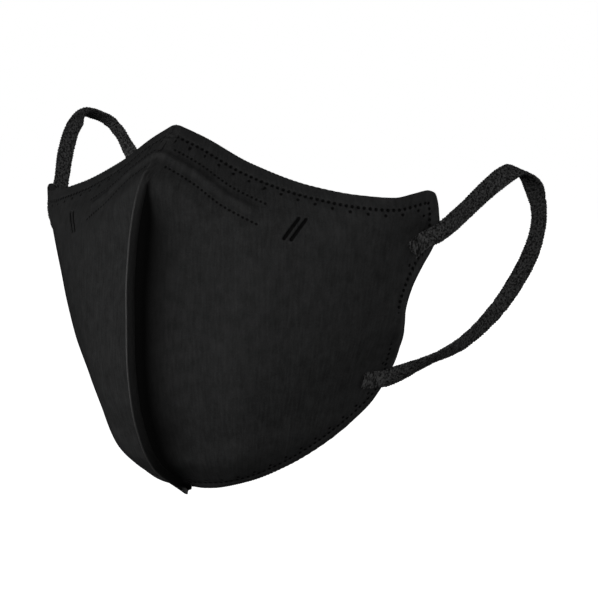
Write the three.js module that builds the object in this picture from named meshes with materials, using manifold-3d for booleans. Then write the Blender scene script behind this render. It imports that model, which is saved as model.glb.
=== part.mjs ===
// Disposable face mask with a centre fold and two flat ear loops.
// Millimetres, +Z up, nose towards -Y, the wearer's left side at +X.
// The origin lies in the plane of the side edges, halfway up them, where the mask sits on a face.

import * as THREE from 'three';
import { mergeVertices } from 'three/addons/utils/BufferGeometryUtils.js';
import Module from 'manifold-3d';

const wasm = await Module();
wasm.setup();

// Shell sizes
const NOSE_RISE = 71;          // top of the centre fold above the origin
const CHIN_DROP = 75.1;        // chin below the origin
const TAB_RISE = 32.6;         // upper end of the side edge above the origin
const CORNER_DROP = 33.3;      // lower end of the side edge below the origin
const HALF_WIDTH = 92.6;       // centre fold to the widest point of a side edge, across
const BEAK_DEPTH = 72;         // plane of the side edges to the front of the fold
const RIM_WAVE = 3;            // how far a side edge strays from its plane
const FIN_DEPTH = 13;          // depth of the fin along the fold, where the two halves lie close together
const FIN_FLAT = 0.5;          // share of the fin's depth over which its sides stay flat
const FIN_ROOT = 2.2;          // where the halves have their full spread again, as a share of the fin's depth
const FIN_PINCH = 0.95;        // how much of the halves' spread the flat part takes away
const FIN_FADE = 3;            // fins shallower than this pinch less
const WALL = 1.2;              // welded laminate
const CLEARANCE = 0.3;         // between neighbouring pieces

// Centre seam sizes
const SEAM_WIDTH = 2.2;
const SEAM_DEPTH = 2.4;
const SEAM_CREST = 0.5;        // width of the flat front as a share of the seam's width
const SEAM_BEVEL = 0.35;       // depth of the slanted front corners as a share of the seam's depth
const SEAM_TAIL = 2.5;         // loose end of the weld below the chin
const TAIL_TAPER = 0.7;        // width and depth of the tail's end as a share of the seam's

// Nose wire sizes
const WIRE_LENGTH = 92;
const WIRE_WIDTH = 3.6;
const WIRE_THICKNESS = 0.6;
const WIRE_COVER = 0.5;        // laminate before and behind the wire's pocket
const RIB_WIDTH = 7.5;
const RIB_RISE = 0.9;          // swelling of the outer face over the wire
const RIB_OVERRUN = 2.2;       // the rib closes this far past the wire's end
const RIB_CREST = 0.24;        // width of the rib's flat crest as a share of its width
const RIB_SHOULDER = 0.64;     // width at the rib's shoulders as a share of its width
const SHOULDER_RISE = 0.78;    // height of the shoulders as a share of the rib's

// Pressed bars beside each end of the nose wire
const BAR_LENGTH = 10.5;
const BAR_WIDTH = 1.1;
const BAR_DEPTH = 0.5;
const BAR_SPACING = 2.7;
const BAR_LEAN = 0.24;         // sideways run of a bar as a share of its length

// Ear loop sizes
const LOOP_WIDTH = 7.5;
const LOOP_THICKNESS = 1.4;
const LOOP_BEVEL = 0.45;
const LOOP_REACH = 66;         // furthest point of a loop behind its upper weld
const LOOP_BOW = 20;           // sideways bow of a loop

// Mesh density
const ACROSS_STEPS = 24;
const DOWN_STEPS = 24;
const SEAM_STEPS = 32;
const WIRE_STEPS = 18;
const LOOP_STEPS = 64;
const FOLD_CROWDING = 1.35;    // above 1, the columns of the mesh lie closer together towards the fold
const FOLD_STEP = 0.01;        // share of the fold over which its direction is taken
const FACE_STEP = 0.004;       // share of the face over which its directions are taken
const WIRE_SAMPLES = 200;      // points along the wire's line when its length is measured
const SAME_POINT = 1e-5;       // corners nearer than this are one

// The fold, from the top edge (down 0) to the bottom edge (down 1).
// level: height as a share of nose to chin; front: share of the beak depth;
// weld, fin: shares of the seam's depth and of the fin's depth
const FOLD_ROWS = [
  { down: 0.00, level: 0.000, front: 0.556, weld: 0.50, fin: 0.00 },
  { down: 0.08, level: 0.070, front: 0.701, weld: 0.60, fin: 0.00 },
  { down: 0.16, level: 0.132, front: 0.833, weld: 0.85, fin: 0.12 },
  { down: 0.26, level: 0.213, front: 0.918, weld: 1.00, fin: 0.80 },
  { down: 0.38, level: 0.328, front: 0.974, weld: 1.00, fin: 1.00 },
  { down: 0.50, level: 0.453, front: 0.997, weld: 1.00, fin: 1.00 },
  { down: 0.62, level: 0.585, front: 0.997, weld: 1.00, fin: 1.00 },
  { down: 0.74, level: 0.718, front: 0.965, weld: 1.00, fin: 1.00 },
  { down: 0.84, level: 0.829, front: 0.885, weld: 1.00, fin: 0.96 },
  { down: 0.92, level: 0.909, front: 0.770, weld: 1.00, fin: 0.64 },
  { down: 1.00, level: 1.000, front: 0.475, weld: 0.90, fin: 0.10 },
];

// Each row's section, from the fold back to the side edge.
// flare, cheek: degrees between the section and straight back, at the fold and at the side edge;
// side, wrap: shares of the half width and of the rim wave;
// lead, trail: lengths of the section's two handles as shares of its chord
const SECTION_ROWS = [
  { down: 0.00, flare: 80, cheek: 10, side: 1.000, wrap: 0.70, lead: 0.40, trail: 0.28 },
  { down: 0.08, flare: 77, cheek: 13, side: 0.991, wrap: 0.75, lead: 0.38, trail: 0.30 },
  { down: 0.16, flare: 72, cheek: 16, side: 0.967, wrap: 0.62, lead: 0.36, trail: 0.30 },
  { down: 0.26, flare: 67, cheek: 20, side: 0.935, wrap: -0.10, lead: 0.34, trail: 0.30 },
  { down: 0.38, flare: 65, cheek: 25, side: 0.900, wrap: -0.70, lead: 0.34, trail: 0.30 },
  { down: 0.50, flare: 65, cheek: 30, side: 0.877, wrap: -1.00, lead: 0.34, trail: 0.30 },
  { down: 0.62, flare: 65, cheek: 34, side: 0.859, wrap: -0.60, lead: 0.34, trail: 0.30 },
  { down: 0.74, flare: 66, cheek: 38, side: 0.822, wrap: 0.43, lead: 0.34, trail: 0.30 },
  { down: 0.84, flare: 69, cheek: 42, side: 0.788, wrap: 0.93, lead: 0.34, trail: 0.30 },
  { down: 0.92, flare: 74, cheek: 44, side: 0.760, wrap: 0.93, lead: 0.36, trail: 0.30 },
  { down: 1.00, flare: 84, cheek: 46, side: 0.722, wrap: 0.97, lead: 0.40, trail: 0.30 },
];

// Top edge from the fold (along 0) to the side edge (along 1).
// rise: height over the tab's end as a share of the nose's height over it
const TOP_EDGE = [
  { along: 0.000, rise: 1.0000 }, { along: 0.030, rise: 0.9600 }, { along: 0.100, rise: 0.8610 },
  { along: 0.250, rise: 0.6039 }, { along: 0.450, rise: 0.3799 }, { along: 0.620, rise: 0.2864 },
  { along: 0.760, rise: 0.2572 }, { along: 0.860, rise: 0.2941 }, { along: 0.930, rise: 0.3156 },
  { along: 0.965, rise: 0.2922 }, { along: 0.990, rise: 0.1685 }, { along: 1.000, rise: 0.0000 },
];

// Bottom edge from the chin (along 0) to the side edge (along 1).
// fall: depth under the lower corner as a share of the chin's depth under it
const BOTTOM_EDGE = [
  { along: 0.00, fall: 1.000 }, { along: 0.10, fall: 0.985 }, { along: 0.30, fall: 0.890 },
  { along: 0.50, fall: 0.722 }, { along: 0.70, fall: 0.496 }, { along: 0.85, fall: 0.284 },
  { along: 0.95, fall: 0.114 }, { along: 1.00, fall: 0.000 },
];

// Line of the nose wire on the shell, from the fold outwards
const WIRE_LINE = [
  { along: 0.00, down: 0.085 },
  { along: 0.14, down: 0.097 },
  { along: 0.24, down: 0.113 },
  { along: 0.35, down: 0.127 },
  { along: 0.48, down: 0.150 },
];

const BAR_PLACE = { along: 0.465, down: 0.150 };

// Where each loop lies on the outer face: its cut end, the weld's middle and the edge it leaves over.
// lift: height over the face as a share of the band's own resting height.
const UPPER_WELD = [
  { along: 0.950, down: 0.273, lift: 1.5 },
  { along: 0.976, down: 0.218, lift: 1.35 },
  { along: 1.000, down: 0.042, lift: 2.2 },
];
const LOWER_WELD = [
  { along: 1.000, down: 0.900, lift: 1.9 },
  { along: 0.927, down: 0.865, lift: 1.35 },
  { along: 0.851, down: 0.816, lift: 1.5 },
];

// Free run of each loop. back: share of the reach; drop: share of the way between the welds' middles;
// out: share of the bow; roll: degrees that the band has turned from facing outwards.
const RIGHT_RUN = [
  { back: 0.25, drop: -0.210, out: 0.25, roll: 26 },
  { back: 0.41, drop: -0.360, out: 0.33, roll: 36 },
  { back: 0.53, drop: -0.460, out: 0.43, roll: 60 },
  { back: 0.62, drop: -0.490, out: 0.50, roll: 84 },
  { back: 0.77, drop: -0.420, out: 0.61, roll: 108 },
  { back: 0.90, drop: -0.270, out: 0.74, roll: 155 },
  { back: 0.98, drop: -0.090, out: 0.83, roll: 155 },
  { back: 0.99, drop: 0.130, out: 0.87, roll: 142 },
  { back: 0.95, drop: 0.350, out: 0.82, roll: 141 },
  { back: 0.84, drop: 0.565, out: 0.75, roll: 153 },
  { back: 0.65, drop: 0.761, out: 0.62, roll: 174 },
  { back: 0.33, drop: 0.860, out: 0.54, roll: 200 },
];
const LEFT_RUN = [
  { back: 0.07, drop: -0.210, out: 0.02, roll: -14 },
  { back: 0.15, drop: -0.350, out: -0.05, roll: -8 },
  { back: 0.22, drop: -0.600, out: -0.24, roll: -14 },
  { back: 0.30, drop: -0.790, out: -0.41, roll: 0 },
  { back: 0.39, drop: -0.885, out: -0.50, roll: 26 },
  { back: 0.47, drop: -0.922, out: -0.51, roll: 84 },
  { back: 0.57, drop: -0.905, out: -0.49, roll: 92 },
  { back: 0.67, drop: -0.860, out: -0.53, roll: 98 },
  { back: 0.74, drop: -0.760, out: -0.57, roll: 103 },
  { back: 0.78, drop: -0.650, out: -0.57, roll: 102 },
  { back: 0.73, drop: -0.490, out: -0.75, roll: 95 },
  { back: 0.49, drop: 0.290, out: 0.05, roll: 130 },
  { back: 0.32, drop: 0.700, out: 0.31, roll: 150 },
];

// Reads a table's column at a place between its rows, smoothly and without overshoot
function readColumn(rows, place, column, at) {
  let row = 0;
  while (row < rows.length - 2 && at > rows[row + 1][place]) row += 1;
  const slope = (i) => (rows[i + 1][column] - rows[i][column]) / (rows[i + 1][place] - rows[i][place]);
  const tangent = (i) => {
    if (i === 0) return slope(0);
    if (i === rows.length - 1) return slope(i - 1);
    const before = slope(i - 1);
    const after = slope(i);
    if (before * after <= 0) return 0;
    const left = rows[i][place] - rows[i - 1][place];
    const right = rows[i + 1][place] - rows[i][place];
    return (3 * (left + right)) / ((2 * right + left) / before + (right + 2 * left) / after);
  };
  const span = rows[row + 1][place] - rows[row][place];
  const t = (at - rows[row][place]) / span;
  const t2 = t * t;
  const t3 = t2 * t;
  return rows[row][column] * (2 * t3 - 3 * t2 + 1)
    + rows[row + 1][column] * (3 * t2 - 2 * t3)
    + span * tangent(row) * (t3 - 2 * t2 + t)
    + span * tangent(row + 1) * (t3 - t2);
}

// A column of the fold's rows or of the sections' rows, at a place down the shell
function foldRow(column, down) {
  return readColumn(FOLD_ROWS, 'down', column, down);
}

function sectionRow(column, down) {
  return readColumn(SECTION_ROWS, 'down', column, down);
}

// Point of the centre fold's front line
function ridgePoint(down) {
  const height = NOSE_RISE - foldRow('level', down) * (NOSE_RISE + CHIN_DROP);
  return new THREE.Vector3(0, -foldRow('front', down) * BEAK_DEPTH, height);
}

// Direction down the fold
function ridgeTangent(down) {
  const above = ridgePoint(Math.max(0, down - FOLD_STEP));
  return ridgePoint(Math.min(1, down + FOLD_STEP)).sub(above).normalize();
}

// Direction straight into the shell from the fold
function ridgeInward(down) {
  const along = ridgeTangent(down);
  return new THREE.Vector3(0, -along.z, along.y);
}

// Depth of the seam behind the fold's front line
function seamDepth(down) {
  return foldRow('weld', down) * SEAM_DEPTH;
}

// Outer face of the half at +X.
// along: 0 at the fold, 1 at the side edge; down: 0 at the top edge, 1 at the bottom edge
function shellPoint(along, down) {
  const front = ridgePoint(down).addScaledVector(ridgeInward(down), seamDepth(down) + CLEARANCE);
  const side = new THREE.Vector2(sectionRow('side', down) * HALF_WIDTH, sectionRow('wrap', down) * RIM_WAVE);
  const fin = foldRow('fin', down) * FIN_DEPTH;
  const pressed = Math.min(1, fin / FIN_FADE);
  const start = new THREE.Vector2(0, front.y);
  const chord = side.distanceTo(start);
  const flare = THREE.MathUtils.degToRad(sectionRow('flare', down));
  const cheek = THREE.MathUtils.degToRad(sectionRow('cheek', down));
  const lead = sectionRow('lead', down) * chord;
  const trail = sectionRow('trail', down) * chord;
  const section = new THREE.CubicBezierCurve(
    start,
    new THREE.Vector2(lead * Math.sin(flare), start.y + lead * Math.cos(flare)),
    new THREE.Vector2(side.x - trail * Math.sin(cheek), side.y - trail * Math.cos(cheek)),
    side,
  ).getPoint(along);
  const opening = fin * (FIN_ROOT - FIN_FLAT) + CLEARANCE;
  const climb = THREE.MathUtils.clamp((section.y - start.y - fin * FIN_FLAT) / opening, 0, 1);
  const spread = THREE.MathUtils.smoothstep(1 - (1 - climb) ** 2, 0, 1);
  const flank = CLEARANCE / 2 + WALL * pressed * (1 - along);
  const across = flank + section.x * (1 - FIN_PINCH * pressed * (1 - spread));

  const top = TAB_RISE + readColumn(TOP_EDGE, 'along', 'rise', along) * (NOSE_RISE - TAB_RISE);
  const bottom = -CORNER_DROP - readColumn(BOTTOM_EDGE, 'along', 'fall', along) * (CHIN_DROP - CORNER_DROP);
  const level = foldRow('level', down) * (1 - along) + down * along;
  const height = top * (1 - level) + bottom * level;
  const lift = front.z - ridgePoint(down).z;
  return new THREE.Vector3(across, section.y, height + lift * (1 - along));
}

// Directions on the shell: outwards, along a row away from the fold, and down a column
function shellFrame(along, down) {
  const across = shellPoint(Math.min(1, along + FACE_STEP), down)
    .sub(shellPoint(Math.max(0, along - FACE_STEP), down)).normalize();
  const below = shellPoint(along, Math.min(1, down + FACE_STEP))
    .sub(shellPoint(along, Math.max(0, down - FACE_STEP))).normalize();
  const outward = new THREE.Vector3().crossVectors(below, across).normalize();
  return { across, below, outward };
}

function liftedPoint(place, lift) {
  return shellPoint(place.along, place.down)
    .addScaledVector(shellFrame(place.along, place.down).outward, lift);
}

// Triangles that close a ring of corners: a fan in a convex ring
function fanCap(sides) {
  const cap = [];
  for (let j = 1; j < sides - 1; j += 1) cap.push(0, j + 1, j);
  return cap;
}

// The same in a ring made of an outer run and the matching inner run: a strip between the two
function stripCap(sides) {
  const cap = [];
  for (let j = 0; j < sides / 2 - 1; j += 1) {
    const facing = sides - 2 - j;
    cap.push(j, facing, j + 1, j, facing + 1, facing);
  }
  return cap;
}

// A closed body from a grid of corners. rings[i][j] goes round each ring; both end rings get the cap.
function bodyFromRings(rings, cap) {
  const sides = rings[0].length;
  const positions = rings.flat().flatMap((point) => [point.x, point.y, point.z]);
  const index = [];
  for (let i = 0; i < rings.length - 1; i += 1) {
    for (let j = 0; j < sides; j += 1) {
      const a = i * sides + j;
      const b = i * sides + ((j + 1) % sides);
      index.push(a, b, a + sides, b, b + sides, a + sides);
    }
  }
  const last = (rings.length - 1) * sides;
  index.push(...cap);
  for (let k = 0; k < cap.length; k += 3) {
    index.push(last + cap[k], last + cap[k + 2], last + cap[k + 1]);
  }
  const geometry = new THREE.BufferGeometry();
  geometry.setAttribute('position', new THREE.Float32BufferAttribute(positions, 3));
  geometry.setIndex(index);
  return outwardFacing(geometry);
}

function signedVolume(geometry) {
  const position = geometry.getAttribute('position');
  const corners = [new THREE.Vector3(), new THREE.Vector3(), new THREE.Vector3()];
  let volume = 0;
  for (let i = 0; i < geometry.index.count; i += 3) {
    corners.forEach((corner, k) => corner.fromBufferAttribute(position, geometry.index.getX(i + k)));
    volume += corners[0].dot(corners[1].clone().cross(corners[2])) / 6;
  }
  return volume;
}

function outwardFacing(geometry) {
  if (signedVolume(geometry) < 0) {
    const flipped = [];
    for (let i = 0; i < geometry.index.count; i += 3) {
      flipped.push(geometry.index.getX(i), geometry.index.getX(i + 2), geometry.index.getX(i + 1));
    }
    geometry.setIndex(flipped);
  }
  return geometry;
}

// A section swept along stations. A station has a centre, a side direction and a face direction;
// the section is a list of [side, face] offsets.
function sweep(stations, section) {
  const rings = stations.map(({ centre, side, face }) => section.map(([s, f]) => centre.clone()
    .addScaledVector(side, s)
    .addScaledVector(face, f)));
  return bodyFromRings(rings, fanCap(section.length));
}

function rectangle(width, low, high) {
  return [[-width / 2, low], [width / 2, low], [width / 2, high], [-width / 2, high]];
}

function toManifold(geometry) {
  const bare = geometry.clone();
  bare.deleteAttribute('normal');
  bare.deleteAttribute('uv');
  const merged = mergeVertices(bare, SAME_POINT);
  return new wasm.Manifold(new wasm.Mesh({
    numProp: 3,
    vertProperties: new Float32Array(merged.getAttribute('position').array),
    triVerts: new Uint32Array(merged.index.array),
  }));
}

function fromManifold(solid) {
  const mesh = solid.getMesh();
  const geometry = new THREE.BufferGeometry();
  geometry.setAttribute('position', new THREE.Float32BufferAttribute(mesh.vertProperties, 3));
  geometry.setIndex(Array.from(mesh.triVerts));
  return geometry;
}

function mirrored(geometry) {
  const copy = geometry.clone();
  copy.scale(-1, 1, 1);
  return outwardFacing(copy);
}

// The laminate of one half: an outer and an inner skin joined round the rim
function shellBody() {
  const rings = [];
  for (let i = 0; i <= DOWN_STEPS; i += 1) {
    const down = i / DOWN_STEPS;
    const outer = [];
    const inner = [];
    for (let j = 0; j <= ACROSS_STEPS; j += 1) {
      const along = (j / ACROSS_STEPS) ** FOLD_CROWDING;
      const point = shellPoint(along, down);
      const back = point.clone().addScaledVector(shellFrame(along, down).outward, -WALL);
      back.x = Math.max(back.x, CLEARANCE / 2);
      outer.push(point);
      inner.unshift(back);
    }
    rings.push([...outer, ...inner]);
  }
  return bodyFromRings(rings, stripCap(rings[0].length));
}

// Stations along the nose wire's line, from one signed distance to another, lifted off the outer face
function wireStations(from, to, steps, lift) {
  const places = [];
  let length = 0;
  let previous = null;
  for (let i = 0; i <= WIRE_SAMPLES; i += 1) {
    const along = (i / WIRE_SAMPLES) * WIRE_LINE[WIRE_LINE.length - 1].along;
    const place = { along, down: readColumn(WIRE_LINE, 'along', 'down', along) };
    const point = shellPoint(place.along, place.down);
    length += previous ? point.distanceTo(previous) : point.x;
    previous = point;
    places.push({ place, length });
  }
  const placeAt = (distance) => {
    const found = places.findIndex((entry) => entry.length >= distance);
    if (found <= 0) return places[0].place;
    const before = places[found - 1];
    const after = places[found];
    const share = (distance - before.length) / (after.length - before.length);
    return {
      along: before.place.along + share * (after.place.along - before.place.along),
      down: before.place.down + share * (after.place.down - before.place.down),
    };
  };
  const stations = [];
  for (let i = 0; i <= steps; i += 1) {
    const distance = from + ((to - from) * i) / steps;
    const place = placeAt(Math.abs(distance));
    const { below, outward } = shellFrame(place.along, place.down);
    const centre = liftedPoint(place, lift);
    if (distance < 0) {
      centre.x *= -1;
      below.x *= -1;
      outward.x *= -1;
    }
    stations.push({ centre, side: below, face: outward });
  }
  return stations;
}

// The wire's pocket lies just under the outer face
const WIRE_LIFT = -(WIRE_COVER + CLEARANCE + WIRE_THICKNESS / 2);
const POCKET_BACK = WIRE_LIFT - WIRE_THICKNESS / 2 - CLEARANCE - WIRE_COVER;

// Swelling of the laminate over the wire, on the face that height points to
function wireSwelling(from, height) {
  const half = RIB_WIDTH / 2;
  const crest = half * RIB_CREST;
  const shoulder = half * RIB_SHOULDER;
  const core = -WALL / 2;
  const skin = height > 0 ? 0 : -WALL;
  const shoulderHeight = skin + (height - skin) * SHOULDER_RISE;
  const section = [
    [-half, core], [half, core], [half, skin], [shoulder, shoulderHeight],
    [crest, height], [-crest, height], [-shoulder, shoulderHeight], [-half, skin],
  ];
  const stations = wireStations(from, WIRE_LENGTH / 2 + RIB_OVERRUN, WIRE_STEPS, 0);
  return sweep(stations, section);
}

function wireBody(grow) {
  const half = WIRE_LENGTH / 2 + grow;
  const section = rectangle(WIRE_WIDTH + 2 * grow, -WIRE_THICKNESS / 2 - grow, WIRE_THICKNESS / 2 + grow);
  return sweep(wireStations(-half, half, WIRE_STEPS * 2, WIRE_LIFT), section);
}

// One of the two leaning bars pressed into each half
function pressedBar(offset) {
  const { across, below, outward } = shellFrame(BAR_PLACE.along, BAR_PLACE.down);
  const centre = shellPoint(BAR_PLACE.along, BAR_PLACE.down).addScaledVector(across, offset);
  const run = below.clone().addScaledVector(across, -BAR_LEAN).normalize();
  const side = new THREE.Vector3().crossVectors(outward, run).normalize();
  const stations = [-0.5, 0.5].map((share) => ({
    centre: centre.clone().addScaledVector(run, share * BAR_LENGTH),
    side,
    face: outward,
  }));
  return sweep(stations, rectangle(BAR_WIDTH, -BAR_DEPTH, WALL));
}

// Everything nearer to the middle than half the clearance
function middleSlab() {
  const reach = 2 * (NOSE_RISE + CHIN_DROP);
  const slab = new THREE.BoxGeometry(reach, reach, reach);
  slab.translate(CLEARANCE / 2 - reach / 2, 0, 0);
  return slab;
}

function panelGeometry() {
  const pastSeam = SEAM_WIDTH / 2 + CLEARANCE;
  let solid = toManifold(shellBody());
  solid = solid.add(toManifold(wireSwelling(pastSeam, RIB_RISE)));
  solid = solid.add(toManifold(wireSwelling(0, POCKET_BACK)));
  solid = solid.subtract(toManifold(wireBody(CLEARANCE)));
  solid = solid.subtract(toManifold(pressedBar(-BAR_SPACING / 2)));
  solid = solid.subtract(toManifold(pressedBar(BAR_SPACING / 2)));
  solid = solid.subtract(toManifold(middleSlab()));
  return fromManifold(solid);
}

// Strip with slanted front corners down the whole fold, tapered at its loose end
function seamGeometry() {
  const outline = [
    [1, 1], [1, SEAM_BEVEL], [SEAM_CREST, 0], [-SEAM_CREST, 0], [-1, SEAM_BEVEL], [-1, 1],
  ];
  const ring = (centre, inward, depth, width) => outline.map(([across, back]) => centre.clone()
    .add(new THREE.Vector3((across * width) / 2, 0, 0))
    .addScaledVector(inward, back * depth));
  const rings = [];
  for (let i = 0; i <= SEAM_STEPS; i += 1) {
    const down = i / SEAM_STEPS;
    rings.push(ring(ridgePoint(down), ridgeInward(down), seamDepth(down), SEAM_WIDTH));
  }
  const tail = ridgePoint(1).addScaledVector(ridgeTangent(1), SEAM_TAIL);
  rings.push(ring(tail, ridgeInward(1), seamDepth(1) * TAIL_TAPER, SEAM_WIDTH * TAIL_TAPER));
  return bodyFromRings(rings, fanCap(outline.length));
}

// A flat band from the upper weld round the free run to the lower weld, built on the +X side
function loopGeometry(run, bow) {
  const upperFace = shellFrame(UPPER_WELD[1].along, UPPER_WELD[1].down).outward;
  const lowerFace = shellFrame(LOWER_WELD[1].along, LOWER_WELD[1].down).outward;
  const lift = CLEARANCE + LOOP_THICKNESS / 2;
  const laid = (weld, face) => weld.map((place) => shellPoint(place.along, place.down)
    .addScaledVector(face, lift * place.lift));
  const upper = laid(UPPER_WELD, upperFace);
  const lower = laid(LOWER_WELD, lowerFace);
  const start = upper[1];
  const drop = lower[1].clone().sub(start);
  const back = new THREE.Vector3(0, 1, 0);
  const out = new THREE.Vector3(1, 0, 0);
  const free = run.map((row) => start.clone()
    .addScaledVector(back, row.back * LOOP_REACH)
    .addScaledVector(drop, row.drop)
    .addScaledVector(out, row.out * bow));
  const route = new THREE.CatmullRomCurve3([...upper, ...free, ...lower], false, 'centripetal');

  const planeNormal = new THREE.Vector3().crossVectors(back, drop).normalize();
  if (planeNormal.x < 0) planeNormal.negate();
  const routeSpans = upper.length + free.length + lower.length - 1;
  const facings = [
    ...UPPER_WELD.map(() => upperFace),
    ...run.map((row, i) => {
      const tangent = route.getTangent((upper.length + i) / routeSpans);
      const outside = new THREE.Vector3().crossVectors(planeNormal, tangent).normalize();
      const roll = THREE.MathUtils.degToRad(row.roll);
      return planeNormal.clone().multiplyScalar(Math.cos(roll)).addScaledVector(outside, Math.sin(roll));
    }),
    ...LOWER_WELD.map(() => lowerFace.clone().negate()),
  ];
  const facing = new THREE.CatmullRomCurve3(facings, false, 'catmullrom');

  const stations = [];
  for (let i = 0; i <= LOOP_STEPS; i += 1) {
    const t = i / LOOP_STEPS;
    const tangent = route.getTangent(t);
    const side = new THREE.Vector3().crossVectors(tangent, facing.getPoint(t)).normalize();
    const face = new THREE.Vector3().crossVectors(side, tangent).normalize();
    stations.push({ centre: route.getPoint(t), side, face });
  }
  const half = LOOP_WIDTH / 2;
  const thick = LOOP_THICKNESS / 2;
  const section = [
    [-half, 0], [-half + LOOP_BEVEL, -thick], [half - LOOP_BEVEL, -thick],
    [half, 0], [half - LOOP_BEVEL, thick], [-half + LOOP_BEVEL, thick],
  ];
  return sweep(stations, section);
}

const LAMINATE = { color: 0x26272a, roughness: 0.85, metalness: 0 };
const WELD = { color: 0x2e2f32, roughness: 0.6, metalness: 0 };
const WIRE = { color: 0x8a8d90, roughness: 0.4, metalness: 0.8 };
const KNIT = { color: 0x303134, roughness: 0.95, metalness: 0 };

const mask = new THREE.Group();

function addPiece(name, geometry, look) {
  const piece = new THREE.Mesh(geometry, new THREE.MeshStandardMaterial(look));
  piece.name = name;
  mask.add(piece);
}

const panel = panelGeometry();
addPiece('panel_right', panel, LAMINATE);
addPiece('panel_left', mirrored(panel), LAMINATE);
addPiece('centre_seam', seamGeometry(), WELD);
addPiece('nose_wire', wireBody(0), WIRE);
addPiece('ear_loop_right', loopGeometry(RIGHT_RUN, LOOP_BOW), KNIT);
addPiece('ear_loop_left', mirrored(loopGeometry(LEFT_RUN, LOOP_BOW)), KNIT);

export default mask;
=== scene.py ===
"""Black disposable face mask with a centre fold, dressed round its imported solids.

The two halves of the shell are sheets of bonded nonwoven with welded dots round their rim, a rib over the nose
wire and two pressed bars beside each end of it. A welded edge joins them down the fold, and two flat knitted
loops are welded to the sides. Sizes are in millimetres until a mesh is made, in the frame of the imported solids.
"""
from __future__ import annotations

import sys
import logging
import math
from dataclasses import dataclass
from enum import Enum

import bpy
import numpy as np
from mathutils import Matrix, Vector
from mathutils.kdtree import KDTree


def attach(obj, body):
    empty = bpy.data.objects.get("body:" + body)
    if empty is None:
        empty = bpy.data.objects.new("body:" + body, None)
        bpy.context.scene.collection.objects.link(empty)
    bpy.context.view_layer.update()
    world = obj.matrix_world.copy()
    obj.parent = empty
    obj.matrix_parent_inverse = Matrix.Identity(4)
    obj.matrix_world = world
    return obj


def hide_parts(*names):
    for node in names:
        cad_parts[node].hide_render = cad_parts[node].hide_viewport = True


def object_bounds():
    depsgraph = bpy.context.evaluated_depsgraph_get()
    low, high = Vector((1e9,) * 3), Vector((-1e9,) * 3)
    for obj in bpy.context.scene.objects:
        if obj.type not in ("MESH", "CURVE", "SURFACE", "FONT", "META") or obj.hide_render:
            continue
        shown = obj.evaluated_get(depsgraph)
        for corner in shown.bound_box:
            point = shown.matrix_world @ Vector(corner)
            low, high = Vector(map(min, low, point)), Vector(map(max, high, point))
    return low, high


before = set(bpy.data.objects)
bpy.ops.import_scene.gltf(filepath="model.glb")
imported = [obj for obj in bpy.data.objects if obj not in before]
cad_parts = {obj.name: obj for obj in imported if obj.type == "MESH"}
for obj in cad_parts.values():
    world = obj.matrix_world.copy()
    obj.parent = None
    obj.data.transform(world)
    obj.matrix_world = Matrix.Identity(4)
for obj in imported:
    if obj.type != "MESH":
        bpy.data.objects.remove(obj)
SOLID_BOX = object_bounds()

LOG = logging.getLogger("mask")
MM = 0.001
CREASE = math.radians(60)
Array = np.ndarray


class Side(Enum):
    """The two halves of the mask, by the sign of their x."""

    RIGHT = 1.0
    LEFT = -1.0


# Numbers along tables and lines


class Column:
    """One column of a table, read smoothly between its rows and without overshoot."""

    def __init__(self, places: Array, values: Array) -> None:
        """Works out the slope at each row.

        Args:
            places: where the rows lie, rising.
            values: the column's value in each row.
        """
        self.places, self.values = places, values
        slopes = np.diff(values) / np.diff(places)
        rates = np.zeros_like(values)
        rates[0], rates[-1] = slopes[0], slopes[-1]
        for i in range(1, len(values) - 1):
            before, after = slopes[i - 1], slopes[i]
            if before * after > 0:
                left, right = places[i] - places[i - 1], places[i + 1] - places[i]
                rates[i] = 3 * (left + right) / ((2 * right + left) / before + (right + 2 * left) / after)
        self.rates = rates

    def __call__(self, at: Array) -> Array:
        """Gives the column's values.

        Args:
            at: places between the first row's and the last row's.

        Returns:
            The value at each place.
        """
        at = np.asarray(at, float)
        row = np.clip(np.searchsorted(self.places, at) - 1, 0, len(self.places) - 2)
        span = self.places[row + 1] - self.places[row]
        t = (at - self.places[row]) / span
        return between(self.values[row], self.values[row + 1], span * self.rates[row], span * self.rates[row + 1], t)


def between(start: Array, end: Array, first_rate: Array, last_rate: Array, t: Array) -> Array:
    """Runs smoothly from one value to another.

    Args:
        start: the value where t is 0.
        end: the value where t is 1.
        first_rate: the rate of change at the start.
        last_rate: the rate of change at the end.
        t: how far along, from 0 to 1.

    Returns:
        The values in between.
    """
    t2, t3 = t * t, t * t * t
    return (start * (2 * t3 - 3 * t2 + 1) + end * (3 * t2 - 2 * t3)
            + first_rate * (t3 - 2 * t2 + t) + last_rate * (t3 - t2))


def smooth_step(value: Array, low: float, high: float) -> Array:
    """Rises smoothly from 0 at low to 1 at high.

    Args:
        value: what is compared with the two ends.
        low: where the rise starts.
        high: where it ends.

    Returns:
        The share reached at each value.
    """
    t = np.clip((value - low) / (high - low), 0, 1)
    return t * t * (3 - 2 * t)


def unit(vectors: Array) -> Array:
    """Brings vectors to length one."""
    return vectors / np.maximum(np.linalg.norm(vectors, axis=-1, keepdims=True), 1e-9)


def run_lengths(line: Array) -> Array:
    """Gives the distance along a line of points from its first point to each of them."""
    return np.concatenate([[0.0], np.cumsum(np.linalg.norm(np.diff(line, axis=0), axis=1))])


def spaced(line: Array, pitch: float) -> Array:
    """Puts points along a line at an even pitch.

    Args:
        line: the line's own points.
        pitch: the distance between neighbours.

    Returns:
        The spaced points, starting half a pitch in.
    """
    lengths = run_lengths(line)
    stops = np.arange(pitch / 2, lengths[-1], pitch)
    return np.stack([np.interp(stops, lengths, line[:, k]) for k in range(3)], -1)


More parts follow.
